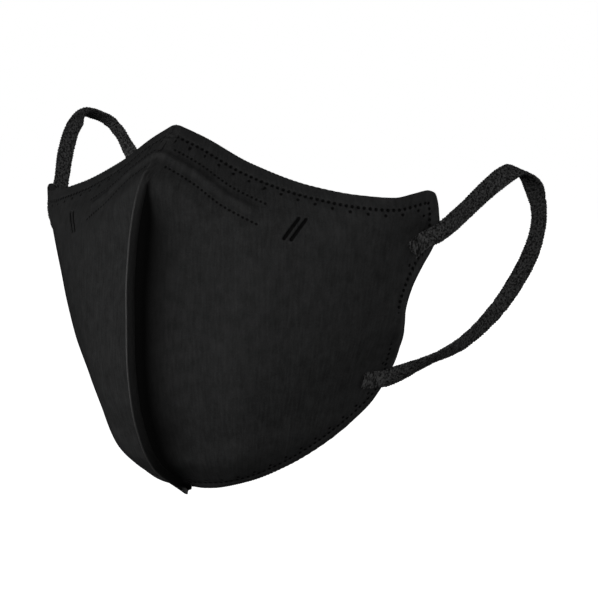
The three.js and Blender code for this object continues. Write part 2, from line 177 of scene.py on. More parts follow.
def distance_to(points: Array, marks: Array) -> tuple[Array, Array]:
    """Finds the nearest mark to each point.

    Args:
        points: where to measure from.
        marks: the marks to measure to.

    Returns:
        The distance to the nearest mark, and that mark's number.
    """
    tree = KDTree(len(marks))
    for number, mark in enumerate(marks):
        tree.insert(mark, number)
    tree.balance()
    found = [tree.find(point) for point in points]
    return np.array([f[2] for f in found]), np.array([f[1] for f in found])


# Form of the shell


@dataclass(frozen=True)
class Shell:
    """Outer face of the half at +X.

    A place on it is given by two shares: along runs from the fold (0) to the side edge (1), and down runs from the
    top edge (0) to the bottom edge (1). The seat is the shallow press beside the fold where the welded edge lies.
    """

    nose_rise: float = 71.0
    chin_drop: float = 75.1
    tab_rise: float = 32.6
    corner_drop: float = 33.3
    half_width: float = 92.6
    beak_depth: float = 72.0
    rim_wave: float = 3.0
    fin_depth: float = 13.0
    wall: float = 1.2
    clearance: float = 0.3
    seam_depth: float = 2.4
    fin_flat: float = 0.5
    fin_root: float = 2.2
    fin_pinch: float = 0.95
    fin_fade: float = 3.0
    fused_from: float = 0.095
    fused_whole: float = 0.175
    # Reach of the fin's painted shadow on the cloth beside it, in shares of the fin's depth and in millimetres.
    fin_shadow_from: float = 0.75
    fin_shadow_to: float = 1.20
    fin_shadow_margin: float = 1.0
    seat_depth: float = 0.6
    crown_seat: tuple[float, float] = (1.8, 3.1)
    fin_seat: tuple[float, float] = (0.0, 7.0)
    crowding: float = 1.3
    fold_step: float = 0.01
    columns: tuple[str, ...] = ("down", "level", "front", "weld", "fin", "flare", "cheek", "side", "wrap",
                                "lead", "trail")
    rows: tuple[tuple[float, ...], ...] = (
        (0.00, 0.000, 0.556, 0.50, 0.00, 80, 10, 1.000, 0.70, 0.40, 0.28),
        (0.08, 0.070, 0.701, 0.60, 0.00, 77, 13, 0.991, 0.75, 0.38, 0.30),
        (0.16, 0.132, 0.833, 0.85, 0.12, 72, 16, 0.967, 0.62, 0.36, 0.30),
        (0.26, 0.213, 0.918, 1.00, 0.80, 67, 20, 0.935, -0.10, 0.34, 0.30),
        (0.38, 0.328, 0.974, 1.00, 1.00, 65, 25, 0.900, -0.70, 0.34, 0.30),
        (0.50, 0.453, 0.997, 1.00, 1.00, 65, 30, 0.877, -1.00, 0.34, 0.30),
        (0.62, 0.585, 0.997, 1.00, 1.00, 65, 34, 0.859, -0.60, 0.34, 0.30),
        (0.74, 0.718, 0.965, 1.00, 1.00, 66, 38, 0.822, 0.43, 0.34, 0.30),
        (0.84, 0.829, 0.885, 1.00, 0.96, 69, 42, 0.788, 0.93, 0.34, 0.30),
        (0.92, 0.909, 0.770, 1.00, 0.64, 74, 44, 0.760, 0.93, 0.36, 0.30),
        (1.00, 1.000, 0.475, 0.90, 0.10, 84, 46, 0.722, 0.97, 0.40, 0.30),
    )
    top_edge: tuple[tuple[float, float], ...] = (
        (0.00, 1.000), (0.03, 0.960), (0.10, 0.861), (0.25, 0.6039), (0.45, 0.3799), (0.62, 0.2864),
        (0.76, 0.2572), (0.86, 0.2941), (0.93, 0.3156), (0.965, 0.2922), (0.99, 0.1685), (1.00, 0.000),
    )
    bottom_edge: tuple[tuple[float, float], ...] = (
        (0.00, 1.000), (0.10, 0.985), (0.30, 0.890), (0.50, 0.722), (0.70, 0.496), (0.85, 0.284),
        (0.95, 0.114), (1.00, 0.000),
    )

    def __post_init__(self) -> None:
        """Prepares the tables' columns for reading."""
        table = np.array(self.rows, float)
        readers = {name: Column(table[:, 0], table[:, k]) for k, name in enumerate(self.columns)}
        top, bottom = np.array(self.top_edge, float), np.array(self.bottom_edge, float)
        readers["rise"] = Column(top[:, 0], top[:, 1])
        readers["fall"] = Column(bottom[:, 0], bottom[:, 1])
        object.__setattr__(self, "readers", readers)

    def read(self, column: str, at: Array) -> Array:
        """Reads one column of the shell's tables."""
        return self.readers[column](at)

    def ridge(self, down: Array) -> Array:
        """Gives points of the fold's front line."""
        height = self.nose_rise - self.read("level", down) * (self.nose_rise + self.chin_drop)
        return np.stack([0 * height, -self.read("front", down) * self.beak_depth, height], -1)

    def inward(self, down: Array) -> Array:
        """Gives the direction straight into the shell from the fold."""
        ahead, before = np.minimum(1, down + self.fold_step), np.maximum(0, down - self.fold_step)
        along = unit(self.ridge(ahead) - self.ridge(before))
        return np.stack([0 * along[..., 0], -along[..., 2], along[..., 1]], -1)

    def weld_depth(self, down: Array) -> Array:
        """Gives the depth of the welded edge behind the fold's front line."""
        return self.read("weld", down) * self.seam_depth

    def point(self, along: Array, down: Array) -> Array:
        """Gives points of the outer face.

        Args:
            along: share of the way from the fold to the side edge.
            down: share of the way from the top edge to the bottom edge.

        Returns:
            The points, one for each pair of shares.
        """
        along, down = np.broadcast_arrays(np.asarray(along, float), np.asarray(down, float))
        ridge = self.ridge(down)
        front = ridge + self.inward(down) * (self.weld_depth(down) + self.clearance)[..., None]
        start_y = front[..., 1]
        side_x, side_y = self.read("side", down) * self.half_width, self.read("wrap", down) * self.rim_wave
        fin = self.read("fin", down) * self.fin_depth
        pressed = np.minimum(1, fin / self.fin_fade)
        chord = np.hypot(side_x, side_y - start_y)
        flare, cheek = np.radians(self.read("flare", down)), np.radians(self.read("cheek", down))
        lead, trail = self.read("lead", down) * chord, self.read("trail", down) * chord
        weights = ((1 - along) ** 3, 3 * (1 - along) ** 2 * along, 3 * (1 - along) * along ** 2, along ** 3)
        across_knots = (0 * start_y, lead * np.sin(flare), side_x - trail * np.sin(cheek), side_x)
        depth_knots = (start_y, start_y + lead * np.cos(flare), side_y - trail * np.cos(cheek), side_y)
        section_x = sum(w * k for w, k in zip(weights, across_knots))
        section_y = sum(w * k for w, k in zip(weights, depth_knots))
        opening = fin * (self.fin_root - self.fin_flat) + self.clearance
        climb = np.clip((section_y - start_y - fin * self.fin_flat) / opening, 0, 1)
        spread = smooth_step(1 - (1 - climb) ** 2, 0, 1)
        flank = self.clearance / 2 + self.wall * pressed * (1 - along)
        across = flank + section_x * (1 - self.fin_pinch * pressed * (1 - spread))
        top = self.tab_rise + self.read("rise", along) * (self.nose_rise - self.tab_rise)
        bottom = -self.corner_drop - self.read("fall", along) * (self.chin_drop - self.corner_drop)
        level = self.read("level", down) * (1 - along) + down * along
        lift = front[..., 2] - ridge[..., 2]
        return np.stack([across, section_y, top * (1 - level) + bottom * level + lift * (1 - along)], -1)

    def fused(self, down: Array) -> Array:
        """Gives how far the fold is a pressed fin, from 0 over the nose to 1 below it."""
        return smooth_step(down, self.fused_from, self.fused_whole)

    def seat(self, along: Array, down: Array) -> Array:
        """Gives how deep the cloth is pressed beside the fold, where the welded edge lies on it."""
        run = np.linalg.norm(self.point(along, down) - self.point(0 * along, down), axis=-1)
        crown = 1 - smooth_step(run, *self.crown_seat)
        fin = 1 - smooth_step(run, *self.fin_seat)
        share = self.fused(down)
        return self.seat_depth * (crown * (1 - share) + fin * share)

    def fin_shadow(self, along: Array, down: Array) -> Array:
        """Gives how far the cloth lies in the painted shadow of the fin, beside it, from 0 to 1."""
        fin = self.read("fin", down) * self.fin_depth
        behind = self.point(along, down)[..., 1] - self.ridge(down)[..., 1]
        ends = fin * self.fin_shadow_from, fin * self.fin_shadow_to + self.fin_shadow_margin
        return self.fused(down) * (1 - smooth_step(behind, *ends))

    def axes(self, along: Array, down: Array, step: float = 0.004) -> tuple[Array, Array, Array]:
        """Gives directions on the face.

        Args:
            along: share of the way from the fold to the side edge.
            down: share of the way from the top edge to the bottom edge.
            step: how far to either side the slopes are taken.

        Returns:
            The directions along a row, down a column and outwards.
        """
        across = unit(self.point(np.minimum(1, along + step), down) - self.point(np.maximum(0, along - step), down))
        below = unit(self.point(along, np.minimum(1, down + step)) - self.point(along, np.maximum(0, down - step)))
        return across, below, unit(np.cross(below, across))

    def settle(self, targets: Array, along: Array, down: Array) -> tuple[Array, Array]:
        """Finds the places on the face nearest to some points.

        Args:
            targets: the points.
            along: first guess of each place's share along.
            down: first guess of its share down.

        Returns:
            The shares along and down of the places.
        """
        step, rounds = 0.002, 6
        for _ in range(rounds):
            here = self.point(along, down)
            ahead, low = np.minimum(1, along + step), np.minimum(1, down + step)
            rate_a = (self.point(ahead, down) - self.point(ahead - step, down)) / step
            rate_d = (self.point(along, low) - self.point(along, low - step)) / step
            gap = targets - here
            aa, dd, ad = (rate_a ** 2).sum(-1), (rate_d ** 2).sum(-1), (rate_a * rate_d).sum(-1)
            ga, gd = (gap * rate_a).sum(-1), (gap * rate_d).sum(-1)
            scale = np.maximum(aa * dd - ad * ad, 1e-6)
            along = np.clip(along + (ga * dd - gd * ad) / scale, 0, 1)
            down = np.clip(down + (gd * aa - ga * ad) / scale, 0, 1)
        return along, down


@dataclass(frozen=True)
class DotRow:
    """A row of welded dots. inset is the row's distance from the rim as a share of the first row's, plus set_in."""

    pitch: float
    radius: float
    depth: float
    set_in: float = 0.0


@dataclass
class Welds:
    """Every mark that is welded or pressed into one half: the hem's dots, the rib and the bars."""

    shell: Shell
    hem_row: DotRow = DotRow(pitch=2.25, radius=0.66, depth=0.42)
    inner_row: DotRow = DotRow(pitch=6.75, radius=0.60, depth=0.36, set_in=2.1)
    rib_row: DotRow = DotRow(pitch=1.9, radius=0.50, depth=0.22, set_in=4.4)
    inset: tuple[tuple[float, float], ...] = (
        (0.00, 5.2), (0.25, 5.4), (0.50, 4.8), (0.80, 4.8), (0.95, 4.6), (1.05, 3.4), (1.30, 3.0), (2.00, 3.0),
        (2.30, 3.6), (3.00, 3.6),
    )
    wire_line: tuple[tuple[float, float], ...] = ((0.00, 0.085), (0.14, 0.097), (0.24, 0.113), (0.35, 0.127),
                                                  (0.48, 0.150))
    wire_length: float = 92.0
    rib_spread: float = 1.8
    rib_rise: float = 1.05
    rib_cut_back: float = 1.5
    rib_end: float = 3.0
    pocket_depth: float = 1.0
    bar_place: tuple[float, float] = (0.465, 0.150)
    bar_length: float = 10.5
    bar_width: float = 1.1
    bar_depth: float = 0.65
    bar_spacing: float = 2.7
    bar_lean: float = 0.24
    channel_depth: float = 0.16
    channel_width: float = 1.3
    edge_radius: float = 0.45
    rim_steps: int = 260
    rim_margin: float = 0.004
    wire_samples: int = 240
    beside_ends: tuple[float, float] = (4.0, 48.0)
    dot_edge: tuple[float, float] = (0.55, 1.25)
    small_dot_lift: float = 0.2
    bar_edge: tuple[float, float] = (-0.2, 0.25)
    lip_place: float = 0.6
    lip_spread: float = 0.4
    lip_rise: float = 0.12
    calm_from_edge: tuple[float, float] = (4.0, 14.0)
    calm_from_rib: tuple[float, float] = (4.0, 12.0)
    corner_share: float = 0.97

    def __post_init__(self) -> None:
        """Lays out the rim, the dots, the rib's line and the bars."""
        self.rim = self.lay_rim()
        inset = np.array(self.inset, float)
        self.inset_column = Column(inset[:, 0], inset[:, 1])
        self.hem_line = self.inset_line(0.0)
        self.hem_dots = spaced(self.hem_line, self.hem_row.pitch)
        self.inner_dots = spaced(self.inset_line(self.inner_row.set_in), self.inner_row.pitch)
        line = np.array(self.wire_line, float)
        places = np.linspace(0, line[-1, 0], self.wire_samples)
        self.wire_places = np.stack([places, Column(line[:, 0], line[:, 1])(places)], -1)
        self.wire_points = self.shell.point(places, self.wire_places[:, 1])
        self.wire_run = run_lengths(self.wire_points)
        beside = [self.beside_wire(sign * self.rib_row.set_in) for sign in (-1.0, 1.0)]
        self.rib_dots = np.concatenate([spaced(side, self.rib_row.pitch) for side in beside])

    def lay_rim(self) -> dict[str, Array]:
        """Samples the rim: along the top edge, down the side edge and back along the bottom edge.

        Returns:
            The rim's places, points, inward directions and shares along and down.
        """
        steps, low, high = self.rim_steps, self.rim_margin, 1 - self.rim_margin
        share = (np.arange(steps) + 0.5) / steps
        one, nought = np.ones(steps), np.zeros(steps)
        along = np.concatenate([share, one, 1 - share])
        down = np.concatenate([nought, share, one])
        points = self.shell.point(along, down)
        outward = self.shell.axes(np.clip(along, low, high), np.clip(down, low, high))[2]
        inward = unit(np.cross(outward, np.gradient(points, axis=0)))
        middle = self.shell.point(0.5, 0.5)
        if ((middle - points) * inward).sum() < 0:
            inward = -inward
        return {"place": np.concatenate([share, 1 + share, 2 + share]), "point": points, "inward": inward,
                "along": along, "down": down}

    def inset_line(self, extra: float) -> Array:
        """Gives the line that keeps its distance inside the rim.

        Args:
            extra: how much deeper than the hem's own row.

        Returns:
            The line's points on the outer face.
        """
        inset = self.inset_column(self.rim["place"]) + extra
        targets = self.rim["point"] + self.rim["inward"] * inset[:, None]
        along, down = self.shell.settle(targets, self.rim["along"], self.rim["down"])
        line = self.shell.point(along, down)
        nearest = distance_to(line, self.rim["point"])[0]
        return line[nearest > self.corner_share * inset]

    def beside_wire(self, offset: float) -> Array:
        """Gives the line that runs beside the rib, from near the fold to the bars.

        Args:
            offset: how far down the face from the rib's middle, in millimetres.

        Returns:
            The line's points on the outer face.
        """
        kept = (self.wire_run > self.beside_ends[0]) & (self.wire_run < self.beside_ends[1])
        along, down = self.wire_places[kept, 0], self.wire_places[kept, 1]
        below = self.shell.axes(along, down)[1]
        targets = self.shell.point(along, down) + below * offset
        return self.shell.point(*self.shell.settle(targets, along, down))

    def bar_measures(self, points: Array) -> Array:
        """Measures how far points lie from the nearer bar's edge, negative inside it."""
        place = [np.array([share]) for share in self.bar_place]
        across, below, outward = (axis[0] for axis in self.shell.axes(*place))
        centre = self.shell.point(*place)[0]
        run = unit(below - self.bar_lean * across)
        aside = unit(np.cross(outward, run))
        reach = (self.bar_length - self.bar_width) / 2
        found = np.full(len(points), np.inf)
        for offset in (-self.bar_spacing / 2, self.bar_spacing / 2):
            from_bar = points - (centre + across * offset)
            past = np.maximum(0, np.abs(from_bar @ run) - reach)
            found = np.minimum(found, np.hypot(from_bar @ aside, past) - self.bar_width / 2)
        return found

    def measure(self, points: Array) -> dict[str, Array]:
        """Works out the relief at points of the outer face.

        Args:
            points: points of the plain outer face.

        Returns:
            outer: rise of the outer face, inner: rise of the inner face into the wall, mark: how much of a weld
            there is, calm: how free the place is of marks.
        """
        edge = distance_to(points, self.rim["point"])[0]
        channel = np.exp(-(distance_to(points, self.hem_line)[0] / self.channel_width) ** 2)
        dots = np.zeros(len(points))
        pits = np.zeros(len(points))
        rows = ((self.hem_row, self.hem_dots), (self.inner_row, self.inner_dots), (self.rib_row, self.rib_dots))
        for row, centres in rows:
            share = 1 - smooth_step(distance_to(points, centres)[0] / row.radius, *self.dot_edge)
            dots = np.maximum(dots, share * min(1.0, row.radius / self.hem_row.radius + self.small_dot_lift))
            pits = np.maximum(pits, share * row.depth)
        gap, number = distance_to(points, self.wire_points)
        from_end = self.wire_length / 2 - self.rib_cut_back - self.wire_run[number]
        rib = np.exp(-(gap / self.rib_spread) ** 2) * smooth_step(from_end, -self.rib_end / 2, self.rib_end / 2)
        bar = self.bar_measures(points)
        pressed = 1 - smooth_step(bar, *self.bar_edge)
        lip = np.exp(-((bar - self.lip_place) / self.lip_spread) ** 2)
        rounding = np.maximum(0, self.edge_radius - edge)
        drop = self.edge_radius - np.sqrt(np.maximum(self.edge_radius ** 2 - rounding ** 2, 0))
        outer = (self.rib_rise * rib - pits - self.channel_depth * channel - self.bar_depth * pressed
                 + self.lip_rise * lip * (1 - pressed) - drop)
        inner = pits + self.channel_depth * channel - self.pocket_depth * rib + drop
        calm = smooth_step(edge, *self.calm_from_edge) * smooth_step(gap, *self.calm_from_rib)
        return {"outer": outer, "inner": inner, "mark": np.maximum(dots, pressed), "calm": calm}


# Meshes


def mesh_piece(name: str, points: Array, faces: list[tuple[int, ...]], values: dict[str, Array],
               cloth: Array) -> bpy.types.Object:
    """Makes a smooth piece from points and faces.

    Args:
        name: the piece's name.
        points: its corners, in millimetres.
        faces: the corners of each face, turning to the right when seen from inside.
        values: numbers kept at each corner, by name, for the materials.
        cloth: place of each corner on the flat cloth, in millimetres.

    Returns:
        The piece's object, with its place in its mesh.
    """
    mesh = bpy.data.meshes.new(name)
    mesh.from_pydata((points * MM).tolist(), [], faces)
    for key, numbers in values.items():
        layer = mesh.attributes.new(key, "FLOAT", "POINT")
        layer.data.foreach_set("value", np.asarray(numbers, np.float32))
    corner = np.empty(len(mesh.loops), np.int64)
    mesh.loops.foreach_get("vertex_index", corner)
    mesh.uv_layers.new(name="cloth").data.foreach_set("uv", (cloth[corner] * MM).astype(np.float32).ravel())
    mesh.polygons.foreach_set("use_smooth", np.ones(len(mesh.polygons), bool))
    mesh.set_sharp_from_angle(angle=CREASE)
    mesh.update()
    piece = bpy.data.objects.new(name, mesh)
    bpy.context.scene.collection.objects.link(piece)
    return piece


def swept_faces(rings: int, sides: int) -> list[tuple[int, ...]]:
    """Lists the faces of a closed body whose rings have the same number of corners, with both ends capped."""
    faces = [(i * sides + j, i * sides + (j + 1) % sides, (i + 1) * sides + (j + 1) % sides, (i + 1) * sides + j)
             for i in range(rings - 1) for j in range(sides)]
    faces.append(tuple(reversed(range(sides))))
    faces.append(tuple((rings - 1) * sides + j for j in range(sides)))
    return faces


@dataclass
class Lattice:
    """Cells over the face, coarse in calm places and split finely where there is relief."""

    across_cells: int = 84
    down_cells: int = 116
    split: int = 4

    def lay(self, fine: Array) -> tuple[Array, Array, list[tuple[int, ...]], Array]:
        """Lays the corners and faces of one skin.

        Args:
            fine: for each cell, by row and then across, whether it is split.

        Returns:
            The shares along and down of the corners, the faces, and the corners round the border in order.
        """
        k, rows, cells = self.split, self.down_cells, self.across_cells
        used = np.zeros((rows * k + 1, cells * k + 1), bool)
        used[::k, ::k] = True
        for r, c in np.argwhere(fine):
            used[r * k:r * k + k + 1, c * k:c * k + k + 1] = True
        number = np.full(used.shape, -1)
        number[used] = np.arange(used.sum())
        faces: list[tuple[int, ...]] = []
        for r in range(rows):
            for c in range(cells):
                if fine[r, c]:
                    block = number[r * k:r * k + k + 1, c * k:c * k + k + 1]
                    quads = np.stack([block[:-1, :-1], block[1:, :-1], block[1:, 1:], block[:-1, 1:]], -1)
                    faces.extend(map(tuple, quads.reshape(-1, 4).tolist()))
                else:
                    faces.append(self.open_cell(number, r * k, c * k))
        border = np.concatenate([number[0, :-1], number[:-1, -1], number[-1, :0:-1], number[:0:-1, 0]])
        down, along = np.argwhere(used).T
        return along / (cells * k), down / (rows * k), faces, border[border >= 0]

    def open_cell(self, number: Array, r: int, c: int) -> tuple[int, ...]:
        """Lists the corners of a cell that isn't split, with those that split neighbours put on its edges."""
        k = self.split
        left, right = number[r:r + k, c], number[r + k:r:-1, c + k]
        bottom, top = number[r + k, c:c + k], number[r, c + k:c:-1]
        ring = np.concatenate([left, bottom, right, top])
        return tuple(ring[ring >= 0].tolist())


@dataclass
class Panels:
    """The two halves of the shell, each a sheet of bonded laminate with an outer and an inner skin."""

    shell: Shell
    welds: Welds
    lattice: Lattice
    hem_band: float = 8.0
    rib_band: float = 6.5
    bar_band: float = 2.2
    rib_overrun: float = 2.0
    sag: float = 0.16
    waves: tuple[tuple[float, float, float], ...] = ((0.09, 0.02, 0.4), (-0.03, 0.083, 1.9), (0.13, -0.03, 3.1),
                                                     (0.02, 0.14, 5.2))
    calm_from_fold: tuple[float, float] = (0.03, 0.15)
    turn_radius: float = 75.0
    turn_centre: float = 10.0
    flat: tuple[float, float] = (0.118, 0.166)
    flat_area: float = 0.0129

    def relief_cells(self) -> Array:
        """Marks the cells that lie near a weld, the rib or a bar."""
        cells, rows = self.lattice.across_cells, self.lattice.down_cells
        along, down = np.meshgrid((np.arange(cells) + 0.5) / cells, (np.arange(rows) + 0.5) / rows)
        points = self.shell.point(along.ravel() ** self.shell.crowding, down.ravel())
        near = distance_to(points, self.welds.rim["point"])[0] < self.hem_band
        gap, number = distance_to(points, self.welds.wire_points)
        reach = self.welds.wire_length / 2 + self.rib_overrun
        near |= (gap < self.rib_band) & (self.welds.wire_run[number] < reach)
        near |= self.welds.bar_measures(points) < self.bar_band
        return near.reshape(rows, cells)

    def slack(self, points: Array) -> Array:
        """Gives the soft unevenness of cloth that isn't stretched, in millimetres."""
        turn = self.turn(points)
        return self.sag * sum(np.sin(a * turn + b * points[:, 2] + c) for a, b, c in self.waves) / 2

    def turn(self, points: Array) -> Array:
        """Gives how far round the face points lie, in millimetres of cloth."""
        return np.arctan2(points[:, 0], self.turn_centre - points[:, 1]) * self.turn_radius

    def skins(self) -> tuple[Array, list[tuple[int, ...]], dict[str, Array], Array]:
        """Builds the half at +X.

        Returns:
            Its corners, faces, material values and places on the flat cloth.
        """
        along, down, faces, border = self.lattice.lay(self.relief_cells())
        along = along ** self.shell.crowding
        plain = self.shell.point(along, down)
        outward = self.shell.axes(along, down)[2]
        marks = self.welds.measure(plain)
        slack = self.slack(plain) * marks["calm"] * smooth_step(along, *self.calm_from_fold)
        seat = self.shell.seat(along, down)
        outer = plain + outward * (marks["outer"] + slack - seat)[:, None]
        inner = plain + outward * (slack + marks["inner"] - self.shell.wall)[:, None]
        middle = self.shell.clearance / 2
        outer[:, 0] = np.maximum(outer[:, 0], middle)
        inner[:, 0] = np.maximum(inner[:, 0], middle)
        count = len(plain)
        faces = faces + [tuple(count + n for n in reversed(face)) for face in faces]
        after = np.roll(border, -1)
        faces += [(a, b, b + count, a + count) for a, b in zip(border.tolist(), after.tolist())]
        cloth = np.stack([self.turn(plain), plain[:, 2]], -1)
        values = {"mark": np.tile(marks["mark"], 2), "fin_shadow": np.tile(self.shell.fin_shadow(along, down), 2)}
        return np.concatenate([outer, inner]), faces, values, np.tile(cloth, (2, 1))

    def build(self, finish: bpy.types.Material) -> list[bpy.types.Object]:
        """Makes both halves.

        Args:
            finish: the laminate's material.

        Returns:
            The two pieces.
        """
        points, faces, values, cloth = self.skins()
        pieces = []
        for side in Side:
            turned = faces if side is Side.RIGHT else [tuple(reversed(face)) for face in faces]
            name = f"laminate_{side.name.lower()}"
            # The fin's painted shadow is kept on the right half only.
            own = values | {"fin_shadow": values["fin_shadow"] * (side is Side.RIGHT)}
            piece = mesh_piece(name, points * (side.value, 1, 1), turned, own, cloth)
            piece.data.materials.append(finish)
            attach(piece, "root")
            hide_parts(f"panel_{side.name.lower()}")
            pieces.append(piece)
        return pieces


@dataclass
class FoldWeld:
    """The edge that joins the halves: a soft turn of cloth over the nose, and a thin welded fin below the rib."""

    shell: Shell
    welds: Welds
    steps: int = 300
    turns: int = 16
    tip_width: float = 0.75
    tip_depth: float = 0.5
    cover: float = 3.2
    lap: float = 1.6
    # How many corners past the tip the painted highlight reaches.
    highlight_steps: int = 2
    crown_lift: float = 0.55
    tail: float = 1.4
    tail_share: float = 0.7
    backing: float = 0.45
    fin_backing: float = 0.25
    landing_gap: float = 0.03
    shoulder_gap: float = 0.05
    row_share: float = 0.1
    slope_share: float = 0.8
    cloth_shift: float = 40.0

    def row_length(self, down: Array) -> Array:
        """Gives the length of a whole row of the face, judged from its first part."""
        first = self.shell.point(self.row_share + 0 * down, down) - self.shell.point(0 * down, down)
        return np.linalg.norm(first, axis=1) / self.row_share

    def face_at(self, along: Array, down: Array) -> Array:
        """Gives points of the outer face with its relief on it."""
        plain = self.shell.point(along, down)
        rise = self.welds.measure(plain)["outer"] - self.shell.seat(along, down)
        return plain + self.shell.axes(along, down)[2] * rise[:, None]

    def turn_over(self, down: Array) -> Array:
        """Gives the soft turn of cloth from one half over the fold to the other.

        Args:
            down: places down the fold.

        Returns:
            The points across the turn, for each place.
        """
        reach = self.cover / self.row_length(down)
        end = self.face_at(reach, down)
        slope = unit(end - self.face_at(reach * self.slope_share, down)) * (2 * end[:, :1])
        flip = np.array([-1.0, 1.0, 1.0])
        t = np.linspace(0, 1, self.turns + 1)[None, :, None]
        start, leave = (end * flip)[:, None], (slope * flip * -1)[:, None]
        end, slope = end[:, None], slope[:, None]
        flush = between(start, end, leave, slope, t)
        return flush - self.shell.inward(down)[:, None] * self.crown_lift * 4 * t * (1 - t)

    def fin_over(self, down: Array) -> Array:
        """Gives the wedge of the welded fin, from one half's face round the narrow tip to the other's.

        Args:
            down: places down the fold.

        Returns:
            The points round the wedge, for each place.
        """
        inward, ridge, sideways = self.shell.inward(down), self.shell.ridge(down), np.array([1.0, 0, 0])
        landing = self.face_at(self.lap / self.row_length(down), down) + sideways * self.landing_gap
        shoulder = self.shell.point(0 * down, down) + sideways * (self.shoulder_gap - self.shell.seat_depth)
        tip = [ridge + inward * self.tip_depth * (1 - math.cos(a)) + sideways * self.tip_width / 2 * math.sin(a)
               for a in np.linspace(0, math.pi / 2, 4)]
        flank = [tip[-1] + (shoulder - tip[-1]) * share for share in (1 / 3, 2 / 3, 1)]
        half = np.stack(tip + flank + [(shoulder + landing) / 2, landing], 1)
        return np.concatenate([half[:, :0:-1] * np.array([-1.0, 1, 1]), half], 1)

    def tail_rings(self, down: Array, last: Array) -> Array:
        """Gives the two rings of the small tail below the chin.

        Args:
            down: places down the fold.
            last: the ring at the chin.

        Returns:
            The rings, each a little smaller.
        """
        low = down[-1:]
        centre = self.shell.ridge(low) + self.shell.inward(low) * self.shell.weld_depth(low)[:, None] / 2
        heading = unit(self.shell.ridge(low) - self.shell.ridge(down[-2:-1]))
        return np.array([(last - centre) * self.tail_share ** (k / 2) + centre + heading * self.tail * k / 2
                         for k in (1, 2)])

    def build(self, finish: bpy.types.Material) -> bpy.types.Object:
        """Makes the welded edge.

        Args:
            finish: the weld's material.

        Returns:
            The piece.
        """
        down = np.linspace(0, 1, self.steps + 1)
        fin = self.shell.fused(down)
        outline = self.turn_over(down) * (1 - fin)[:, None, None] + self.fin_over(down) * fin[:, None, None]
        backing = self.shell.inward(down)[:, None] * (self.backing + self.fin_backing * fin)[:, None, None]
        behind = outline[:, [-1, self.turns // 2, 0]] + backing
        behind[:, 1] = (behind[:, 0] + behind[:, 2]) / 2
        rings = np.concatenate([outline, behind], 1)
        rings = np.concatenate([rings, self.tail_rings(down, rings[-1])])
        count, sides = rings.shape[:2]
        length = np.repeat(run_lengths(rings[:, self.turns // 2]), sides)
        cloth = np.stack([rings.reshape(-1, 3)[:, 0] + self.cloth_shift, length], -1)
        weld = np.repeat(np.concatenate([fin, [1.0, 1.0]]), sides)
        # Painted highlight on the tip and left flank; the right flank and back get painted shade.
        tip = np.tile(np.arange(sides) <= self.turns // 2 + self.highlight_steps, count).astype(float)
        faces = [tuple(reversed(face)) for face in swept_faces(count, sides)]
        piece = mesh_piece("fold_weld", rings.reshape(-1, 3), faces, {"fused": weld, "tip": tip}, cloth)
        piece.data.materials.append(finish)
        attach(piece, "root")
        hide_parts("centre_seam")
        return piece


# Ear loops


class Route:
    """A smooth line through points in space, even in its bends."""

    def __init__(self, knots: Array, even: bool) -> None:
        """Keeps the points that the line passes.

        Args:
            knots: the points.
            even: whether each span's pace follows its length.
        """
        self.knots, self.even = knots, even

    def at(self, share: Array) -> Array:
        """Gives points of the line.

        Args:
            share: places from 0, its first point, to 1, its last; every span takes an equal share.

        Returns:
            The points.
        """
        before, after = 2 * self.knots[0] - self.knots[1], 2 * self.knots[-1] - self.knots[-2]
        knots = np.concatenate([[before], self.knots, [after]])
        spans = len(self.knots) - 1
        place = np.clip(share, 0, 1) * spans
        first = np.minimum(place.astype(int), spans - 1)
        t = (place - first)[:, None]
        a, b, c, d = (knots[first + k] for k in range(4))
        if self.even:
            pace = [np.sqrt(np.linalg.norm(q - p, axis=1, keepdims=True)) for p, q in ((a, b), (b, c), (c, d))]
            enter = ((b - a) / pace[0] - (c - a) / (pace[0] + pace[1]) + (c - b) / pace[1]) * pace[1]
            leave = ((c - b) / pace[1] - (d - b) / (pace[1] + pace[2]) + (d - c) / pace[2]) * pace[1]
        else:
            enter, leave = (c - a) / 2, (d - b) / 2
        return between(b, c, enter, leave, t)

    def heading(self, share: Array) -> Array:
        """Gives the line's direction at places along it."""
        step = 1e-4
        return unit(self.at(np.minimum(1, share + step)) - self.at(np.maximum(0, share - step)))


